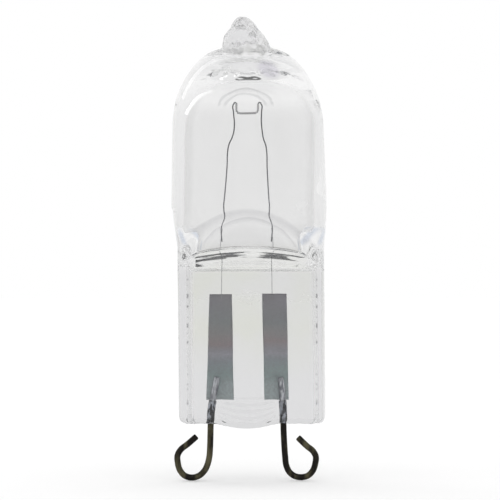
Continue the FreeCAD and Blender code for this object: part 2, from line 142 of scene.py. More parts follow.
def ringSurface(rings, inward=False):
    # rings (rows, columns, 3) joined into quads, with a point in the middle of the first and the last ring
    rows, columns = rings.shape[:2]
    index = np.arange(rows * columns).reshape(rows, columns)
    after = np.roll(index, -1, axis=1)
    quads = np.stack([index[:-1], after[:-1], after[1:], index[1:]], axis=-1).reshape(-1, 4)
    lowPole, highPole = rows * columns, rows * columns + 1
    lowFan = np.stack([after[0], index[0], np.full(columns, lowPole)], axis=-1)
    highFan = np.stack([index[-1], after[-1], np.full(columns, highPole)], axis=-1)
    points = np.vstack([rings.reshape(-1, 3), rings[0].mean(axis=0), rings[-1].mean(axis=0)])
    fans = np.vstack([lowFan, highFan])
    return (points, quads[:, ::-1], fans[:, ::-1]) if inward else (points, quads, fans)


def makePiece(name, surfaces, material):
    # one mesh from several closed surfaces, in metres, that rides on the bulb
    points, corners, totals, start = [], [], [], 0
    for surfacePoints, quads, fans in surfaces:
        points.append(surfacePoints)
        corners += [(quads + start).ravel(), (fans + start).ravel()]
        totals += [np.full(len(quads), 4), np.full(len(fans), 3)]
        start += len(surfacePoints)
    points = np.vstack(points) * millimetre
    corners, totals = np.concatenate(corners), np.concatenate(totals)
    mesh = bpy.data.meshes.new(name)
    mesh.vertices.add(len(points))
    mesh.vertices.foreach_set("co", points.astype(np.float32).ravel())
    mesh.loops.add(len(corners))
    mesh.loops.foreach_set("vertex_index", corners.astype(np.int32))
    mesh.polygons.add(len(totals))
    mesh.polygons.foreach_set("loop_start", np.append(0, np.cumsum(totals)[:-1]).astype(np.int32))
    mesh.polygons.foreach_set("use_smooth", np.ones(len(totals), bool))
    mesh.update(calc_edges=True)
    mesh.validate()
    mesh.materials.append(material)
    piece = bpy.data.objects.new(name, mesh)
    bpy.context.scene.collection.objects.link(piece)
    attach(piece, "root")
    print(name, len(points), "points")
    return piece


def tubeAlong(path, radius, sides):
    # a round profile carried along a path: centre + radius * (cos a * side + sin a * up), where side is the
    # path's direction with x, y and z cycled, made square to the path; radius is one number or one per point
    tangent = np.gradient(path, axis=0)
    tangent /= np.linalg.norm(tangent, axis=1)[:, None]
    side = np.roll(tangent, -1, axis=1)
    side = side - tangent * np.sum(side * tangent, axis=1)[:, None]
    side /= np.linalg.norm(side, axis=1)[:, None]
    up = np.cross(tangent, side)
    angle = np.linspace(0, 2 * np.pi, sides, endpoint=False)[None, :, None]
    radius = np.broadcast_to(radius, (len(path),))[:, None, None]
    return path[:, None] + radius * (np.cos(angle) * side[:, None] + np.sin(angle) * up[:, None])


# quartz envelope
quartz = {
    "tubeAxis": 0.2,              # x of the tube's axis
    "tubeRadius": 6.66,           # at the shoulders
    "shoulderLevel": 21.9,        # the tube narrows evenly from here to the dome
    # half width and level of the dome and of the melted exhaust tip, as measured
    "domeProfile": [(6.43, 30.2), (6.39, 30.8), (6.32, 31.3), (6.22, 31.9), (6.07, 32.5), (5.85, 33.1),
                    (5.62, 33.6), (5.36, 34.1), (5.05, 34.6), (4.68, 35.1), (4.25, 35.58), (3.87, 35.93),
                    (3.4, 36.26), (2.9, 36.5), (2.45, 36.64), (2.15, 36.72)],
    "tipProfile": [(2.02, 36.85), (1.95, 37.0), (1.87, 37.3), (1.74, 37.66), (1.52, 38.0), (1.24, 38.33),
                   (1.02, 38.68), (0.79, 39.0), (0.6, 39.19), (0.34, 39.34), (0.1, 39.38)],
    # level and shift to the side of the tube's upper part and the tip
    "lean": [(21.0, 0.0), (29.0, -0.08), (34.0, -0.15), (36.6, -0.16), (36.98, -0.27), (37.66, -0.4),
             (38.3, -0.5), (39.4, -0.62)],
    "tipForward": 0.5,            # the tip stands so far in front of the axis
    "tipForwardLevels": (36.0, 37.2),
    "meltedLevels": (36.6, 37.3),
    "meltedFlatness": 0.1,
    # waves round the melted tip: number, start, turn per millimetre up and height as a share of the radius
    "lobes": [(2, 0.6, 0.9, 0.035), (3, 0.0, -1.1, 0.035), (5, 0.0, 2.3, 0.025), (9, 0.0, -4.0, 0.015),
              (15, 0.0, 9.0, 0.008)],
    "tipSag": 1.3,                # its melted foot sags down the front of the dome
    "sagLevels": (35.7, 36.8, 36.9, 38.4),    # it grows between the first two and fades between the others
    "sagDrips": (13, 0.12),       # number of drips round the foot and their share of the sag
    # small air bubbles caught in the melted tip: x, y, z and radius
    "bubbles": [(-1.3, -0.5, 38.2, 0.08), (-1.5, -0.5, 37.8, 0.08), (0.5, -0.5, 38.45, 0.07),
                (1.34, -0.5, 37.44, 0.1), (0.91, -1.0, 37.27, 0.09), (1.5, -0.4, 37.2, 0.07),
                (-1.1, -1.6, 36.2, 0.1), (0.3, -1.2, 37.6, 0.05)],
    # level, left edge and right edge of the pressed end and the shoulders, as measured
    "pressEdges": [(4.0, -5.76, 6.85), (9.3, -5.8, 6.83), (15.4, -5.85, 6.73), (17.8, -5.9, 6.68),
                   (19.8, -5.93, 6.68), (20.3, -6.02, 6.76), (20.8, -6.13, 6.88), (21.3, -6.25, 7.02),
                   (21.8, -6.36, 7.16), (22.9, -6.62, 7.4), (24.0, -9.0, 9.6)],
    "pressLevel": 4.95,           # lower edge of the pressed end
    "pressMiddle": 0.45,          # x of its middle
    "pressHalf": 6.25,            # half its width at the lower edge
    "rampLevel": 18.3,            # where the pressed faces start to slant outwards
    "rampSlope": 1.011,
    "rampSoftness": 0.2,
    "sharpness": (26, 20),        # of the section's corners in the press and in the tube
    "sharpnessLevels": (18.5, 21.5),
    "ribHalf": 2.1,               # half thickness over the edge ribs
    "webHalf": 1.5,               # half thickness between them
    "webLeft": (0.72, 1.25),      # the web's slope starts and ends so far inside the left and right edge
    "webRight": (0.82, 1.12),
    "webTop": (18.45, 17.85),     # and goes down between these levels at the top
    "endCorner": 0.7,             # rounding of the lower corners
    "endEdge": 0.28,              # rounding along the lower edge
    "cornerFrom": 6.1,            # farther out, the cap is rounded from the side and not from a face
    "bulgeDrop": 0.45,            # depth and half width of the swelling between the leads
    "bulgeHalf": 2.55,
    "torn": 0.05,                 # unevenness of the lower edge beside the swelling
    "tornWaves": (7.3, 2.9),
    "settleHeight": 3.2,          # height over which the walls follow the lower edge's shape
    "arcPitch": 0.42,             # of the shallow arcs pressed round the swelling
    "arcDepth": 0.018,            # as a share of the half thickness
    "arcTop": 7.4,                # they grow from here down
    "arcFade": 2.2,
    "columns": 360,
    # rows of the walls (from, to, number) and of the dome with its tip, and the cap's rings as shares
    "wallRows": [(4.95, 7.6, 35), (7.6, 17.2, 17), (17.2, 23.4, 43), (23.4, 30.2, 11)],
    "upperRows": 110,
    "capShares": [0.03, 0.15, 0.3, 0.45, 0.6, 0.72, 0.8, 0.86, 0.9, 0.93, 0.955, 0.975, 0.99],
    "roundLevels": (18.0, 23.0),  # columns spread evenly along the pressed outline turn into even angles
    "waves": 0.012,               # drawing waves left in the tube's wall
    "waveTurns": (3, 0.35),       # waves round the tube, and their turn per millimetre up
    "waveLevels": (22, 25),
}


def pressedEdges(z):
    # left and right edge of the pressed end and the shoulders, straight between measured levels
    levels, left, right = np.array(quartz["pressEdges"]).T
    return np.interp(z, levels, left), np.interp(z, levels, right)


def outerSection(angle, z, radius):
    # distance from the tube's axis: a smooth least of the round radius, the pressed half thickness
    # over |sin| and the edge over |cos|, as (sum of each ^ -p) ^ (-1 / p); |sin| and |cos| are 0.001 or more
    low, high = quartz["sharpness"]
    sharpness = low + (high - low) * smoothStep(z, *quartz["sharpnessLevels"])
    left, right = pressedEdges(z)
    side = np.where(np.cos(angle) > 0, right - quartz["tubeAxis"], quartz["tubeAxis"] - left)
    ramp = (z - quartz["rampLevel"]) * quartz["rampSlope"]
    half = quartz["ribHalf"] + softRamp(ramp, quartz["rampSoftness"])
    ratio = (radius ** -sharpness + (half / np.maximum(np.abs(np.sin(angle)), 1e-3)) ** -sharpness
             + (side / np.maximum(np.abs(np.cos(angle)), 1e-3)) ** -sharpness)
    return ratio ** (-1 / sharpness)


def pressedWeb(x, y, z):
    # the faces between the ribs are pressed in: |y| loses the rib's height inside the panel's outline
    left, right = pressedEdges(z)
    inside = smoothStep(x - left, *quartz["webLeft"]) * smoothStep(right - x, *quartz["webRight"])
    inside = inside * smoothStep(z, *quartz["webTop"])
    return y * (1 - inside * (1 - quartz["webHalf"] / quartz["ribHalf"]))


def endLevel(x, inset):
    # the lower end: level - drop * (1 - (x / half)^2) between the leads, slightly torn beside them, and
    # rounded by r - sqrt(r^2 - d^2) towards corners and edges; inset is the distance from the nearest face
    corner, edge = quartz["endCorner"], quartz["endEdge"]
    fromX = np.clip(corner - (quartz["pressHalf"] - np.abs(x - quartz["pressMiddle"])), 0, corner)
    fromY = np.clip(edge - inset, 0, edge)
    rise = corner - np.sqrt(corner ** 2 - fromX ** 2) + edge - np.sqrt(edge ** 2 - fromY ** 2)
    bulge = np.clip(1 - (x / quartz["bulgeHalf"]) ** 2, 0, 1)
    fine, coarse = quartz["tornWaves"]
    torn = quartz["torn"] * np.sin(fine * x) * np.sin(coarse * x + 1) * (1 - bulge)
    return quartz["pressLevel"] - quartz["bulgeDrop"] * bulge + torn + rise


def envelopeOutside():
    # rings of outerSection along the profile; the lower end is the first section shrunk to its middle,
    # and the pressed end's columns are spread evenly along its outline, taken 10 mm up
    columns = quartz["columns"]
    turn = np.linspace(0, 2 * np.pi, columns, endpoint=False)
    dense = np.linspace(0, 2 * np.pi, 6001)
    lower = outerSection(dense, 10.0, quartz["tubeRadius"])
    outline = np.stack([lower * np.cos(dense), lower * np.sin(dense)], axis=1)
    length = np.append(0, np.cumsum(np.linalg.norm(np.diff(outline, axis=0), axis=1)))
    pressedTurn = np.interp(np.linspace(0, length[-1], columns, endpoint=False), length, dense)

    walls = stretches(quartz["wallRows"])
    upperEnd = smoothPath(quartz["domeProfile"] + quartz["tipProfile"], quartz["upperRows"])
    domeRadius, domeLevel = quartz["domeProfile"][0]
    narrowing = np.interp(walls, [quartz["shoulderLevel"], domeLevel], [quartz["tubeRadius"], domeRadius])
    radius = np.concatenate([narrowing, upperEnd[:, 0]])
    level = np.concatenate([walls, upperEnd[:, 1]])
    upper = smoothStep(level, *quartz["roundLevels"])[:, None]
    angle = (1 - upper) * pressedTurn + upper * turn
    z = np.broadcast_to(level[:, None], angle.shape).copy()
    reach = outerSection(angle, z, radius[:, None])
    number, twist = quartz["waveTurns"]
    drawn = np.sin(number * angle + twist * z) * smoothStep(z, *quartz["waveLevels"])
    reach = reach + quartz["waves"] * drawn

    # melted glass: low lobes round the tip, which leans to the left and is a little flat
    melted = smoothStep(z, *quartz["meltedLevels"])
    lobes = sum(height * np.sin(number * angle + start + twist * z)
                for number, start, twist, height in quartz["lobes"])
    reach = reach * (1 + melted * lobes)
    leanLevels, leanShifts = np.array(quartz["lean"]).T
    x = quartz["tubeAxis"] + reach * np.cos(angle) + np.interp(z, leanLevels, leanShifts)
    y = (reach * np.sin(angle) * (1 - quartz["meltedFlatness"] * melted)
         - quartz["tipForward"] * smoothStep(z, *quartz["tipForwardLevels"]))

    # its foot sags by sag * front * (1 + share * sin(drips * a)), front being the part that faces -y
    growing, full, fading, gone = quartz["sagLevels"]
    front = np.clip(-np.sin(angle), 0, 1) * smoothStep(z, growing, full) * (1 - smoothStep(z, fading, gone))
    drips, dripShare = quartz["sagDrips"]
    z = z - quartz["tipSag"] * front * (1 + dripShare * np.sin(drips * angle))

    # arcs round the swelling: |y| changes by depth * sqrt(swollen) * sin(2 pi (z + swollen / 2) / pitch)
    y = pressedWeb(x, y, z)
    swollen = np.clip(1 - (x / quartz["bulgeHalf"]) ** 2, 0, 1)
    swollen = swollen * np.clip((quartz["arcTop"] - z) / quartz["arcFade"], 0, 1)
    arcs = np.sin(2 * np.pi * (z + 0.5 * swollen) / quartz["arcPitch"])
    y = y * (1 + quartz["arcDepth"] * np.sqrt(swollen) * arcs)

    # the cap: shares of the first ring at endLevel, to which the walls' lowest rows settle
    middle, shares = quartz["pressMiddle"], np.array(quartz["capShares"])[:, None]
    beside = np.abs(x[0] - middle)
    fromMiddle = np.where(beside > quartz["cornerFrom"], beside, np.abs(y[0]))
    rim = endLevel(x[0], 0)
    settle = np.clip(1 - (z - quartz["pressLevel"]) / quartz["settleHeight"], 0, 1) ** 2
    z = z + (rim - quartz["pressLevel"]) * settle
    capX, capY = middle + (x[0] - middle) * shares, y[0] * shares
    cap = np.stack([capX, capY, endLevel(capX, fromMiddle * (1 - shares))], axis=-1)
    return np.concatenate([cap, np.stack([x, y, z], axis=-1)])


gasSpace = {
    "radius": 5.55,
    # radius and level of the crown above the straight wall
    "crownProfile": [(5.55, 28.6), (5.53, 29.4), (5.47, 30.6), (5.25, 31.6), (4.8, 32.55), (4.1, 33.4),
                     (3.2, 34.05), (2.1, 34.44), (1.1, 34.64), (0.2, 34.79)],
    "crownLevels": (33.9, 34.7),  # between them the crown is stretched to the sides and lowered on the right
    "crownStretch": 0.25,
    "crownTilt": 0.04,
    "rampWall": 1.12,             # glass in the ramps, measured level
    "floorLevel": 20.1,
    "floorDip": 0.1,              # the floor lies so far below the walls' first ring
    "floorReach": 5.1,            # half width at the floor, widening to the full radius between these levels
    "floorReachLevels": (20.0, 21.8),
    "floorRadius": 18.0,          # the floor drops to the sides on this radius
    "floorFade": 4.0,             # height over which the walls lose that drop
    "floorShares": [0.05, 0.3, 0.55, 0.78, 0.92],
    "sharpness": 20,
    "columns": 160,
    "columnShift": 0.378,         # columns at the floor gather at the ends by this times sin(2 a)
    "columnLevels": (20.5, 25.5),
    "wallRows": [(20.1, 25.6, 39), (25.6, 28.6, 5)],
    "crownRows": 44,
}


def gasInside():
    # the hollow: rings of the smooth least of the round radius and the sloping half depth,
    # over an arched floor that drops by R - sqrt(R^2 - x^2); |sin| counts as 0.001 or more
    turn = np.linspace(0, 2 * np.pi, gasSpace["columns"], endpoint=False)
    sides = stretches(gasSpace["wallRows"])
    profile = smoothPath(gasSpace["crownProfile"], gasSpace["crownRows"])
    level = np.concatenate([sides, profile[:, 1]])
    widening = np.interp(sides, gasSpace["floorReachLevels"], [gasSpace["floorReach"], gasSpace["radius"]])
    around = np.concatenate([widening, profile[:, 0]])[:, None]
    z = np.broadcast_to(level[:, None], (len(level), len(turn))).copy()
    half = quartz["ribHalf"] + (z - quartz["rampLevel"]) * quartz["rampSlope"] - gasSpace["rampWall"]
    upper = smoothStep(level, *gasSpace["columnLevels"])[:, None]
    angle = (1 - upper) * (turn - gasSpace["columnShift"] * np.sin(2 * turn)) + upper * turn
    power = gasSpace["sharpness"]
    depth = half / np.maximum(np.abs(np.sin(angle)), 1e-3)
    reach = (around ** -power + depth ** -power) ** (-1 / power)
    x = reach * np.cos(angle)
    y = reach * np.sin(angle)
    crown = smoothStep(z, *gasSpace["crownLevels"])
    z = z - gasSpace["crownTilt"] * x * crown
    x = x * (1 + gasSpace["crownStretch"] * crown)
    radius, low = gasSpace["floorRadius"], gasSpace["floorLevel"]
    drop = radius - np.sqrt(radius ** 2 - x ** 2)
    z = z - drop * np.clip(1 - (z - low) / gasSpace["floorFade"], 0, 1) ** 1.5
    shares = np.array(gasSpace["floorShares"])[:, None]
    capX, capY = x[0] * shares, y[0] * shares
    capZ = low - gasSpace["floorDip"] - (radius - np.sqrt(radius ** 2 - capX ** 2))
    cap = np.stack([capX, capY, capZ], axis=-1)
    rings = np.concatenate([cap, np.stack([x, y, z], axis=-1)])
    return rings + np.array([quartz["tubeAxis"], 0, 0])


leads = {
    "wireRadius": 0.265,
    "weldRadii": (0.2, 0.25),     # the wire's first and last two rings are rounded off
    "cutRadii": (0.252, 0.21),
    "gapRadius": 0.33,            # air round each lead at the pressed end
    "gapBottom": 5.15,
    "gapTop": 6.85,
    "gapRings": 7,
    "rings": 260,
    "sides": (32, 28),            # of the wire and of the gap round it
    # centreline of each lead: x and z down from the weld, then round the loop, as bent by hand
    "left": [(-2.5, 8.84), (-2.68, 7.9), (-2.87, 6.9), (-2.99, 6.2), (-3.05, 5.6), (-3.07, 4.9), (-3.09, 3.9),
             (-3.12, 2.9), (-3.19, 2.0), (-3.34, 1.38), (-3.63, 0.81), (-4.07, 0.42), (-4.68, 0.27),
             (-5.27, 0.43), (-5.67, 0.88), (-5.87, 1.57), (-5.88, 2.16), (-5.62, 2.63), (-5.04, 3.1),
             (-4.25, 3.78)],
    "right": [(2.84, 8.84), (2.95, 7.9), (3.02, 6.9), (3.07, 6.2), (3.1, 5.6), (3.11, 4.9), (3.14, 3.9),
              (3.19, 2.95), (3.26, 2.0), (3.34, 1.35), (3.62, 0.74), (4.06, 0.4), (4.6, 0.3), (5.2, 0.44),
              (5.6, 0.85), (5.82, 1.48), (5.86, 2.06), (5.65, 2.48), (5.1, 2.95), (4.33, 3.69)],
}


def leadPath(side, count):
    # the lead's centreline in the plane y = 0
    flat = smoothPath(leads[side], count)
    return np.stack([flat[:, 0], np.zeros(count), flat[:, 1]], axis=1)


def gapSleeve(side):
    # the thin air gap that opens round the lead just above the lower edge
    path = leadPath(side, 400)
    path = path[(path[:, 2] > leads["gapBottom"]) & (path[:, 2] < leads["gapTop"])]
    return tubeAlong(resampled(path, leads["gapRings"]), leads["gapRadius"], leads["sides"][1])


def bubbleSurface(x, y, z, radius):
    # radius * (cos a sin t, sin a sin t, -cos t) round the bubble's middle
    a = np.linspace(0, 2 * np.pi, 16, endpoint=False)[None, :]
    t = np.linspace(0.2, np.pi - 0.2, 9)[:, None]
    ball = np.stack([np.cos(a) * np.sin(t), np.sin(a) * np.sin(t), -np.cos(t) + 0 * a], axis=-1)
    return ball * radius + np.array([x, y, z])


def quartzMaterial():
    # fused quartz, blown and flame pressed: clear and glossy, IOR 1.458, with drawing waves in the tube,
    # finer marks of the jaws on the pressed faces, and painted shade that greys it where it is thick or at a
    # slant
    material, tree, place = newMaterial("fusedQuartzBlownAndPressed")
    scaled = addNode(tree, "VectorMath", [place, (1 / millimetre,) * 3], operation="MULTIPLY")["Vector"]
    x, y, z = addNode(tree, "SeparateXYZ", [scaled])    # in millimetres
    # clouds in the body, drawing waves, marks of the jaws, the wobble of the painted coil image and wrinkles
    # of the melted tip
    cloud, waves, jaws, coilImageWobble, wrinkles = [
        addNode(tree, "TexNoise", {
            "Vector": place, "Scale": 1 / (size * millimetre), "Detail": detail})["Fac"]
        for size, detail in ((3.85, 2.0), (3.0, 1.0), (0.667, 2.0), (0.8, 2.0), (0.35, 3.0))]
    pressed = rampProduct(tree, (z, 20.5, 17.5))
    beside = awayFrom(tree, x, quartz["pressMiddle"])

    # dark specks that the jaws' edges left in a row down the front of each rib, 5.44 mm beside the middle
    upwards = addNode(tree, "Mapping", {"Vector": place, "Scale": (0.0, 0.0, 1.0)})["Vector"]
    dots = addNode(tree, "TexNoise", {
        "Vector": upwards, "Scale": 1 / (0.5 * millimetre), "Detail": 1.0})["Fac"]
    row = awayFrom(tree, beside, 5.44)
    specks = rampProduct(tree, (dots, 0.52, 0.6, 0, 0.8), (row, 0.09, 0.05), (z, 17.6, 17.2), (z, 5.4, 5.8),
                         (y, -1.0, -1.5))
    greener = rampProduct(tree, (cloud, 0.35, 0.6, 0.2, 1), (z, 8.5, 12.5), (beside, 5.6, 4.8))
    # the pressed end's grey is painted shade
    pressedShadeAndSpecks = layered(tree, "#d9d9da", (greener, "#d7d8d2"), (specks, "#3a3a40"))

    # in the dome the outer skin, over 6.4 mm from its middle, is painted greyer than the gas space's wall;
    # the solid top and the skin seen at a slant are painted greyer still: all painted shade
    ball = addNode(tree, "VectorMath", [scaled, (0.2, 0.0, 29.0)], operation="DISTANCE")["Value"]
    dome = layered(tree, "#ffffff", (rampProduct(tree, (ball, 6.3, 6.5)), "#f2f2f2"))
    grazing = addNode(tree, "LayerWeight", {"Blend": 0.5})["Facing"]
    edge = rampProduct(tree, (grazing, 0.45, 0.75), (z, 33.5, 30.0))

    # painted shade where the ramps leave the tube, over thicker glass: an arch along z + 0.088 x^2 = 22.9
    square = addNode(tree, "Math", [x, x], operation="MULTIPLY")[0]
    arch = addNode(tree, "Math", [square, 0.088, z], operation="MULTIPLY_ADD")[0]
    arch = rampProduct(tree, (arch, 22.1, 22.9, 0, 0.6), (arch, 23.1, 22.9))

    # a violet patch of tungsten smoke at the right of the crown, about 2 mm wide, with a wavy rim
    smoke = addNode(tree, "VectorMath", [scaled, (1.9, -4.5, 34.6)], operation="DISTANCE")["Value"]
    smoke = addNode(tree, "Math", [waves, 1.2, smoke], operation="MULTIPLY_ADD")[0]
    smoke = rampProduct(tree, (smoke, 1.8, 1.4, 0, 0.8))

    # a faint painted image of the coil, as the crown refracts it, on the inner wall before the coil: two
    # lines round x = -0.07, z = 31.3, where the length of (x, 1.4 z) from there is 1.9 mm less or more 0.25
    # mm
    flat = addNode(tree, "VectorMath", [scaled, (1.0, 0.0, 1.4)], operation="MULTIPLY")["Vector"]
    ring = addNode(tree, "VectorMath", [flat, (-0.07, 0.0, 1.4 * 31.3)], operation="DISTANCE")["Value"]
    ring = addNode(tree, "Math", [coilImageWobble, 0.3, ring], operation="MULTIPLY_ADD")[0]
    ring = awayFrom(tree, ring, 2.05)
    paintedCoilImage = rampProduct(tree, (ring, 0.1, 0.2, 0.15, 0.6), (ring, 0.4, 0.3), (z, 31.4, 31.7),
                       (ball, 6.5, 6.3), (y, -1.0, -2.0))

    # bluish strips where the flattened shoulders turn to the sides, |x - middle| = 5.65 + 0.4 (z - 20.1)
    strip = addNode(tree, "Math", [z, -0.4, beside], operation="MULTIPLY_ADD")[0]
    strip = awayFrom(tree, strip, 5.65 - 0.4 * 20.1)
    strip = rampProduct(tree, (strip, 0.3, 0.1), (z, 19.9, 20.3), (z, 21.6, 21.0))

    # the greys of the body, the dome's skin, the solid top, the slanted rim, the pressed end and the arch are
    # painted shade
    colour = layered(
        tree, "#f1f1f1", (rampProduct(tree, (cloud, 0.35, 0.65)), "#efefef"),
        (rampProduct(tree, (z, 31.2, 33.2)), dome), (rampProduct(tree, (z, 34.2, 36.8)), "#dcdcdd"),
        (edge, "#dadada"), (pressed, pressedShadeAndSpecks), (arch, "#d2d2d4"), (smoke, "#c4c0ce"), (paintedCoilImage, "#b9b9bb"),
        (strip, "#b4bccb"))
    wavy = addNode(tree, "Bump", {"Height": waves, "Distance": 0.03 * millimetre, "Strength": 0.5})["Normal"]
    wrinkled = addNode(tree, "Math", [wrinkles, rampProduct(tree, (z, 36.2, 36.8))], operation="MULTIPLY")[0]
    wavy = addNode(tree, "Bump", {
        "Height": wrinkled, "Distance": 0.06 * millimetre, "Strength": 0.8, "Normal": wavy})["Normal"]
    jawsHere = addNode(tree, "Math", [jaws, pressed], operation="MULTIPLY")[0]
    marked = addNode(tree, "Bump", {
        "Height": jawsHere, "Distance": 0.01 * millimetre, "Strength": 0.35, "Normal": wavy})["Normal"]
    glass = addNode(tree, "BsdfPrincipled", {
        "Base Color": colour, "Roughness": 0.0, "IOR": 1.458, "Transmission Weight": 1.0, "Normal": marked})

    # dark blue-grey streaks on the gas space's floor, painted reflection of dark surroundings, 0.9 mm wide
    # and longer from side to side, more of them off the middle and fewer towards the ends
    sideways = addNode(tree, "Mapping", {"Vector": place, "Scale": (0.35, 1.0, 1.0)})["Vector"]
    streaks = addNode(tree, "TexNoise", {
        "Vector": sideways, "Scale": 1 / (0.9 * millimetre), "Detail": 4.0})["Fac"]
    outward = awayFrom(tree, x, 0.0)
    paintedDarkReflection = streaks
    for part in ((outward, 0.6, 1.8, 0, 0.16), (outward, 3.4, 5.1, 0, -0.34)):
        paintedDarkReflection = addNode(tree, "Math", [paintedDarkReflection, rampProduct(tree, part)], operation="ADD")[0]
    paintedDarkReflection = rampProduct(tree, (paintedDarkReflection, 0.56, 0.59), (z, 20.16, 20.12), (z, 18.8, 18.9), (y, 1.3, 1.0),
                       (y, -1.5, -1.2), (x, 5.2, 5.1), (x, -4.4, -4.3))
    # the dark blue-grey sheet mixed into the glass here is painted reflection
    oxideAndPaintedReflection = addNode(tree, "BsdfPrincipled", {
        "Base Color": toLinear("#1d2230"), "Metallic": 0.3,
        "Roughness": rampProduct(tree, (streaks, 0.4, 0.7, 0.2, 0.4))})
    both = addNode(tree, "MixShader", [paintedDarkReflection, glass["BSDF"], oxideAndPaintedReflection["BSDF"]])
    addNode(tree, "OutputMaterial", both)
    return material


fusedQuartz = quartzMaterial()
envelope = makePiece("quartzEnvelope", [
    ringSurface(envelopeOutside()),
    ringSurface(gasInside(), inward=True),
    ringSurface(gapSleeve("left")[::-1], inward=True),
    ringSurface(gapSleeve("right")[::-1], inward=True),
] + [ringSurface(bubbleSurface(*bubble), inward=True) for bubble in quartz["bubbles"]], fusedQuartz)
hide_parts("quartz_envelope")


# outer leads
def leadWireMaterial():
    # molybdenum wire, drawn and heated in the press: near-black brown oxide with olive-grey patches of
    # painted highlight outside, silvery where the glass seals it, and painted dark and bluish white
    # reflections of the air gap in the gap between
    material, tree, place = newMaterial("oxidisedMolybdenumWire")
    scaled = addNode(tree, "VectorMath", [place, (1 / millimetre,) * 3], operation="MULTIPLY")["Vector"]
    z = addNode(tree, "SeparateXYZ", [scaled])["Z"]
    # blotches of painted highlight and streaks run along the wire; the scratches of the die are drawn coarser
    # than they are
    along = addNode(tree, "Mapping", {"Vector": place, "Scale": (1.0, 1.0, 0.35)})["Vector"]
    highlightBlotches, streaks, scratches = [
        addNode(tree, "TexNoise", {
            "Vector": vector, "Scale": 1 / (size * millimetre), "Detail": detail})["Fac"]
        for vector, size, detail in ((along, 0.6, 4.0), (along, 0.22, 2.0), (place, 0.11, 3.0))]
    # painted reflection of the air gap: the wire streaked dark and bluish white where the gap is
    gap = layered(tree, "#1e222b", (rampProduct(tree, (streaks, 0.45, 0.56)), "#e2e8f2"))
    sealed = layered(tree, "#84868d", (rampProduct(tree, (streaks, 0.4, 0.62)), "#d7dade"))
    # the olive-grey blotches are painted highlight
    colour = layered(tree, "#1b1815", (rampProduct(tree, (highlightBlotches, 0.44, 0.68)), "#57533f"),
                     (rampProduct(tree, (z, 5.1, 5.5)), gap), (rampProduct(tree, (z, 6.6, 6.9)), sealed))
    bumped = addNode(tree, "Bump", {"Height": scratches, "Distance": 0.01 * millimetre, "Strength": 0.5})
    shader = addNode(tree, "BsdfPrincipled", {
        "Base Color": colour, "Metallic": 0.85, "Normal": bumped["Normal"],
        "Roughness": rampProduct(tree, (scratches, 0.3, 0.7, 0.3, 0.48))})
    addNode(tree, "OutputMaterial", shader)
    return material


def leadSurface(side):
    # the wire's round section along its path, with its weld and its cut end slightly rounded off
    path = leadPath(side, leads["rings"])
    radius = np.full(len(path), leads["wireRadius"])
    radius[:2], radius[-2:] = leads["weldRadii"], leads["cutRadii"]
    return tubeAlong(path, radius, leads["sides"][0])


leadWire = leadWireMaterial()
for side in ("left", "right"):
    pin = makePiece("loopPin_" + side, [ringSurface(leadSurface(side))], leadWire)
    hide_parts("lead_pin_" + side)


# foils
foils = {
    # oxide colours from the lower end (0) to the upper one (1)
    "bands": [(0.0, "#c6d2d2"), (0.12, "#c2d0d0"), (0.26, "#a9bcbb"), (0.36, "#aab2ba"), (0.43, "#c0bfca"),
              (0.47, "#b3b1bc"), (0.54, "#b5a7ab"), (0.62, "#aeabaf"), (0.75, "#a6abb0"), (0.9, "#aba9b2"),
              (1.0, "#aaa6af")],
    "bandLevels": (7.7, 16.7),    # of the first and the last colour, before they wander down
    "faceLevel": 0.245,           # y of the sheet's middle
    "halfSheet": 0.015,
    "thinning": 0.8,              # how much of its thickness the sheet loses at its long edges
    "rows": 70,
    "halfColumns": 18,
    # left edge, right edge and level at the top and at the bottom
    "left": [(-3.17, -1.26, 15.85), (-3.43, -1.11, 6.9)],
    "right": [(1.29, 3.38, 15.9), (1.5, 3.55, 6.9)],
}


def foilSurface(side):
    # a strip whose section thins to its long edges: half thickness * (1 - thinning * s^4), s across from -1
    # to 1, bent by a few hundredths of a millimetre along its length
    (leftTop, rightTop, top), (leftLow, rightLow, low) = foils[side]
    t = np.linspace(0, 1, foils["rows"])[:, None]
    s = np.linspace(-1, 1, foils["halfColumns"])
    across = np.concatenate([s, s[::-1]])[None, :]
    face = np.concatenate([-np.ones(len(s)), np.ones(len(s))])[None, :]
    left, right = leftLow + (leftTop - leftLow) * t, rightLow + (rightTop - rightLow) * t
    x = (left + right) / 2 + (right - left) / 2 * across + 0.012 * np.sin(9 * t + 2 * across)
    bend = 0.012 * np.sin(7.5 * t + 0.8 * across) + 0.006 * np.sin(19 * t - across)
    y = foils["faceLevel"] + bend + face * foils["halfSheet"] * (1 - foils["thinning"] * across ** 4)
    z = low + (top - low) * t + 0 * across
    return np.stack([x, y, z], axis=-1)


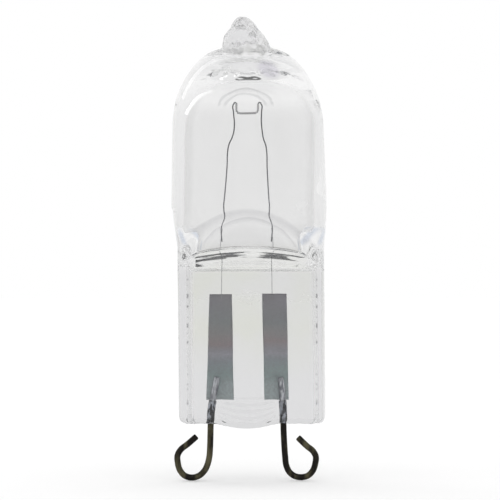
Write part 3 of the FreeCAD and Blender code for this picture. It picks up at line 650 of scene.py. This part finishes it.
def foilMaterial():
    # etched molybdenum foil, sealed in hot quartz: matte grey with faint purple and blue-green oxide bands,
    # which wander up to 1.6 mm, and an etched grain drawn coarser than it is
    material, tree, place = newMaterial("etchedMolybdenumFoil")
    scaled = addNode(tree, "VectorMath", [place, (1 / millimetre,) * 3], operation="MULTIPLY")["Vector"]
    z = addNode(tree, "SeparateXYZ", [scaled])["Z"]
    sideways = addNode(tree, "Mapping", {"Vector": place, "Scale": (0.25, 1.0, 1.0)})["Vector"]
    bands, grain = [
        addNode(tree, "TexNoise", {"Vector": vector, "Scale": 1 / (size * millimetre), "Detail": 3.0})["Fac"]
        for vector, size in ((sideways, 1.6), (place, 0.17))]
    wander = addNode(tree, "Math", [bands, 1.6, z], operation="MULTIPLY_ADD")[0]
    oxideAndPaintedReflection = addNode(tree, "ValToRGB", [rampProduct(tree, (wander, *foils["bandLevels"]))], foils["bands"])
    colour = layered(tree, oxideAndPaintedReflection["Color"], (rampProduct(tree, (grain, 0.3, 0.7, 0, 0.5)), "#9c9ca0"))
    bumped = addNode(tree, "Bump", {"Height": grain, "Distance": 0.01 * millimetre, "Strength": 0.6})
    shader = addNode(tree, "BsdfPrincipled", {
        "Base Color": colour, "Metallic": 0.35, "Normal": bumped["Normal"],
        "Roughness": rampProduct(tree, (bands, 0.3, 0.7, 0.5, 0.62))})
    addNode(tree, "OutputMaterial", shader)
    return material


etchedFoil = foilMaterial()
for side in ("left", "right"):
    foil = makePiece("sealingFoil_" + side, [ringSurface(foilSurface(side))], etchedFoil)
    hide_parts("foil_" + side)


# filament
filament = {
    "strandRadius": 0.057,        # of the legs, with the fine wire wound round them
    "coiledStrandRadius": 0.033,
    "threadPitch": 0.17,          # ridges of that fine wire, drawn coarse enough to show
    "threadDepth": 0.2,
    "coilRadius": 0.075,          # of the strand's centreline
    "coilPitch": 0.2,
    "coilLevels": (31.33, 32.5),  # its level run and its two ends
    "coilHalf": 0.93,
    "coilCorner": 0.35,
    "turnPoints": 40,
    "legPoints": 240,
    "depth": 0.205,
    # x and z of each leg, from the core wire up and over into the coil's end
    "left": [(-1.98, 20.6), (-2.17, 22.3), (-2.0, 23.5), (-1.73, 26.5), (-1.65, 28.05), (-1.58, 28.42),
             (-1.28, 29.16), (-1.15, 29.6), (-1.09, 30.5), (-1.17, 31.4), (-1.19, 32.4), (-1.06, 32.61),
             (-0.95, 32.52)],
    "right": [(1.97, 20.6), (2.11, 22.3), (1.93, 23.5), (1.71, 26.5), (1.67, 27.9), (1.6, 28.42),
              (1.41, 28.95), (1.28, 29.7), (1.2, 30.5), (1.22, 31.4), (1.21, 32.4), (1.08, 32.61),
              (0.95, 32.52)],
}


def filamentPath():
    # centre + r * (cos w * back + sin w * out), the strand wound round a U: down, a quarter circle, level,
    # a quarter circle and up; the legs rise beside it and turn over into its ends
    low, top = filament["coilLevels"]
    half, corner = filament["coilHalf"], filament["coilCorner"]
    bend = np.linspace(0, np.pi / 2, 60)
    quarter = np.stack([-half + corner * (1 - np.cos(bend)), low + corner * (1 - np.sin(bend))], axis=1)
    left = np.vstack([[-half, top], quarter, [0, low]])
    route = np.vstack([left, left[-2::-1] * [-1, 1]])
    run = np.linalg.norm(np.diff(route, axis=0), axis=1).sum()
    turns = round(run / filament["coilPitch"])
    route = resampled(route, turns * filament["turnPoints"] + 1)
    centre = np.stack([route[:, 0], np.full(len(route), filament["depth"]), route[:, 1]], axis=1)
    tangent = np.gradient(centre, axis=0)
    tangent /= np.linalg.norm(tangent, axis=1)[:, None]
    back = np.array([0.0, 1.0, 0.0])
    winding = 2 * np.pi * turns * np.linspace(0, 1, len(centre))[:, None]
    turned = np.cos(winding) * back + np.sin(winding) * np.cross(tangent, back)
    coil = centre + filament["coilRadius"] * turned
    left, right = [smoothPath([(x, filament["depth"], z) for x, z in filament[side]], filament["legPoints"])
                   for side in ("left", "right")]
    # the coil's first and last four points leave room for the bend into the leg
    return np.vstack([left, coil[4:-4], right[::-1]])


def filamentSurface():
    # the strand along its path, radius * (1 + depth * cos(2 pi length / pitch)) for the wound thread
    path = filamentPath()
    legPoints, pitch = filament["legPoints"], filament["threadPitch"]
    radius = np.full(len(path), filament["coiledStrandRadius"])
    radius[:legPoints] = filament["strandRadius"]
    radius[-legPoints:] = filament["strandRadius"]
    length = np.linalg.norm(np.diff(path, axis=0), axis=1).sum()
    count = int(length / pitch * 4)
    ridges = 1 + filament["threadDepth"] * np.cos(np.linspace(0, 2 * np.pi * length / pitch, count))
    even = resampled(np.column_stack([path, radius]), count)
    return tubeAlong(even[:, :3], even[:, 3] * ridges, 10)


def tungstenMaterial():
    # tungsten wire, drawn and wound: grey metal with a dull sheen, brighter down the legs, which stay cooler;
    # its grain is drawn coarser than it is
    material, tree, place = newMaterial("drawnTungstenWire")
    scaled = addNode(tree, "VectorMath", [place, (1 / millimetre,) * 3], operation="MULTIPLY")["Vector"]
    z = addNode(tree, "SeparateXYZ", [scaled])["Z"]
    grain = addNode(tree, "TexNoise", {
        "Vector": place, "Scale": 1 / (0.143 * millimetre), "Detail": 2.0})["Fac"]
    patches = rampProduct(tree, (grain, 0.3, 0.7))
    bright = layered(tree, "#7c7d81", (patches, "#939498"))
    colour = layered(tree, "#434448", (patches, "#606164"), (rampProduct(tree, (z, 30.0, 24.0)), bright))
    shader = addNode(tree, "BsdfPrincipled", {
        "Base Color": colour, "Metallic": 1.0, "Roughness": rampProduct(tree, (grain, 0.3, 0.7, 0.32, 0.5))})
    addNode(tree, "OutputMaterial", shader)
    return material


tungsten = tungstenMaterial()
coil = makePiece("filamentCoil", [ringSurface(filamentSurface())], tungsten)
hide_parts("filament")


# core wires
def coreWireMaterial():
    # bright drawn molybdenum wire that carries the filament: pale grey with fine drawing lines, which are
    # 20 times as long as wide and drawn coarser than they are
    material, tree, place = newMaterial("drawnMolybdenumCoreWire")
    along = addNode(tree, "Mapping", {"Vector": place, "Scale": (1.0, 1.0, 0.05)})["Vector"]
    lines = addNode(tree, "TexNoise", {
        "Vector": along, "Scale": 1 / (0.0333 * millimetre), "Detail": 2.0})["Fac"]
    colour = layered(tree, "#a3a5a8", (rampProduct(tree, (lines, 0.3, 0.7)), "#bfc0c2"))
    shader = addNode(tree, "BsdfPrincipled", {
        "Base Color": colour, "Metallic": 1.0, "Roughness": rampProduct(tree, (lines, 0.3, 0.7, 0.25, 0.4))})
    addNode(tree, "OutputMaterial", shader)
    return material


drawnMolybdenum = coreWireMaterial()
for side in ("left", "right"):
    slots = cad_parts["core_wire_" + side].data.materials
    slots.clear()
    slots.append(drawnMolybdenum)
print("core wires finished")


# studio
studio = {
    "cameraX": 0.27,
    "cameraZ": 19.6,
    "cameraDistance": 236.0,
    "lens": 200.0,
    "floorLevel": -0.02,          # just under the loops
    "floorRadii": [4.0, 20.0, 60.0, 200.0, 900.0],
    "floorGlow": 0.13,            # light that the paper adds where it is seen, so that it stays white
    # the paper's grey from straight behind the bulb (0) to half way between two views (1), as |sin 2 azimuth|
    "paper": [(0.0, "#ffffff"), (0.48, "#ffffff"), (0.6, "#fafafa"), (0.75, "#fafafa"), (0.9, "#fafafa"),
              (1.0, "#f5f5f5")],
    "flagDepth": 0.85,            # how much darker the flag overhead is
    "lampPlace": (-180, 155, 190),
    "lampAim": (0, 0, 22),
    "lampSize": (50, 200),
    "lampWatts": 0.03,
    "bounces": 64,                # light is followed through all the walls of the glass
}


def makeFloor():
    # a flat disc, points at r (cos a, sin a), just under the loops
    turn = np.linspace(0, 2 * np.pi, 96, endpoint=False)
    radii = np.array(studio["floorRadii"])[:, None]
    x, y = radii * np.cos(turn), radii * np.sin(turn)
    points = np.stack([x, y, np.full(x.shape, studio["floorLevel"])], axis=-1).reshape(-1, 3)
    index = np.arange(x.size).reshape(x.shape)
    after = np.roll(index, -1, axis=1)
    quads = np.stack([index[:-1], index[1:], after[1:], after[:-1]], axis=-1).reshape(-1, 4)
    mesh = bpy.data.meshes.new("paleFloor")
    mesh.from_pydata((points * millimetre).tolist(), [], [list(index[0])] + quads.tolist())
    floor = bpy.data.objects.new("paleFloor", mesh)
    bpy.context.scene.collection.objects.link(floor)

    # matte white paper with clouds 33 mm wide that hardly show
    material, tree, place = newMaterial("whiteStudioPaper")
    cloud = addNode(tree, "TexNoise", {
        "Vector": place, "Scale": 1 / (33.3 * millimetre), "Detail": 2.0})["Fac"]
    paper = addNode(tree, "BsdfDiffuse", {"Color": layered(tree, "#f1f1f1", (cloud, "#f3f3f3"))})
    path = addNode(tree, "LightPath")
    seen = path["Is Camera Ray"]
    for ray in ("Is Transmission Ray", "Is Glossy Ray"):
        seen = addNode(tree, "Math", [seen, path[ray]], operation="MAXIMUM")[0]
    strength = addNode(tree, "Math", [seen, studio["floorGlow"]], operation="MULTIPLY")[0]
    glow = addNode(tree, "Emission", {"Color": toLinear("#ffffff"), "Strength": strength})
    both = addNode(tree, "AddShader", [paper["BSDF"], glow["Emission"]])
    addNode(tree, "OutputMaterial", both)
    mesh.materials.append(material)


def makeWorld():
    # white paper all round, with soft grey joins beside each view's backdrop that draw the glass's edges,
    # and a narrow dark flag from left to right high overhead, |(0.55 x, 2.2 y)| under 0.2 of a direction's
    # length; the camera and the floor see it as plain white
    world = bpy.data.worlds.new("whiteStudio")
    bpy.context.scene.world = world
    world.use_nodes = True
    tree = world.node_tree
    tree.nodes.clear()
    direction = addNode(tree, "TexCoord")["Generated"]
    x, y = addNode(tree, "SeparateXYZ", [direction])[:2]
    azimuth = addNode(tree, "Math", [y, x], operation="ARCTAN2")[0]
    double = addNode(tree, "Math", [azimuth, 2.0], operation="MULTIPLY")[0]
    between = awayFrom(tree, addNode(tree, "Math", [double], operation="SINE")[0], 0.0)
    paper = addNode(tree, "ValToRGB", [between], studio["paper"])["Color"]
    flag = addNode(tree, "VectorMath", [direction, (0.55, 2.2, 0.0)], operation="MULTIPLY")["Vector"]
    flag = addNode(tree, "VectorMath", [flag], operation="LENGTH")["Value"]
    high = rampProduct(tree, (flag, 0.2, 0.3, 1 - studio["flagDepth"], 1))
    level = addNode(tree, "Math", [paper, high], operation="MULTIPLY")[0]
    path = addNode(tree, "LightPath")
    plain = addNode(tree, "Math", [path["Is Camera Ray"], path["Is Diffuse Ray"]], operation="MAXIMUM")[0]
    strength = rampProduct(tree, (plain, 0, 1, level, 1))
    background = addNode(tree, "Background", {"Color": toLinear("#ffffff"), "Strength": strength})
    addNode(tree, "OutputWorld", background)


def makeLamp(name, place, aim, size, watts):
    # a soft rectangular lamp at a place in millimetres, turned to the aim
    lamp = bpy.data.lights.new(name, "AREA")
    lamp.shape = "RECTANGLE"
    lamp.size, lamp.size_y = size[0] * millimetre, size[1] * millimetre
    lamp.energy = watts
    holder = bpy.data.objects.new(name, lamp)
    bpy.context.scene.collection.objects.link(holder)
    start, end = Vector(place) * millimetre, Vector(aim) * millimetre
    holder.location = start
    holder.rotation_euler = (end - start).to_track_quat("-Z", "Y").to_euler()


makeFloor()
makeWorld()
makeLamp("softboxLeft", studio["lampPlace"], studio["lampAim"], studio["lampSize"], studio["lampWatts"])

camera = bpy.data.cameras.new("photoCamera")
camera.lens = studio["lens"]
camera.sensor_width = 36.0
camera.clip_start, camera.clip_end = 0.01, 10.0
viewer = bpy.data.objects.new("photoCamera", camera)
bpy.context.scene.collection.objects.link(viewer)
viewer.location = Vector((studio["cameraX"], -studio["cameraDistance"], studio["cameraZ"])) * millimetre
viewer.rotation_euler = (math.radians(90), 0, 0)
bpy.context.scene.camera = viewer
bpy.context.scene.view_settings.view_transform = "Standard"
for kind in ("max_bounces", "glossy_bounces", "transmission_bounces"):
    setattr(bpy.context.scene.cycles, kind, studio["bounces"])
print("studio ready")
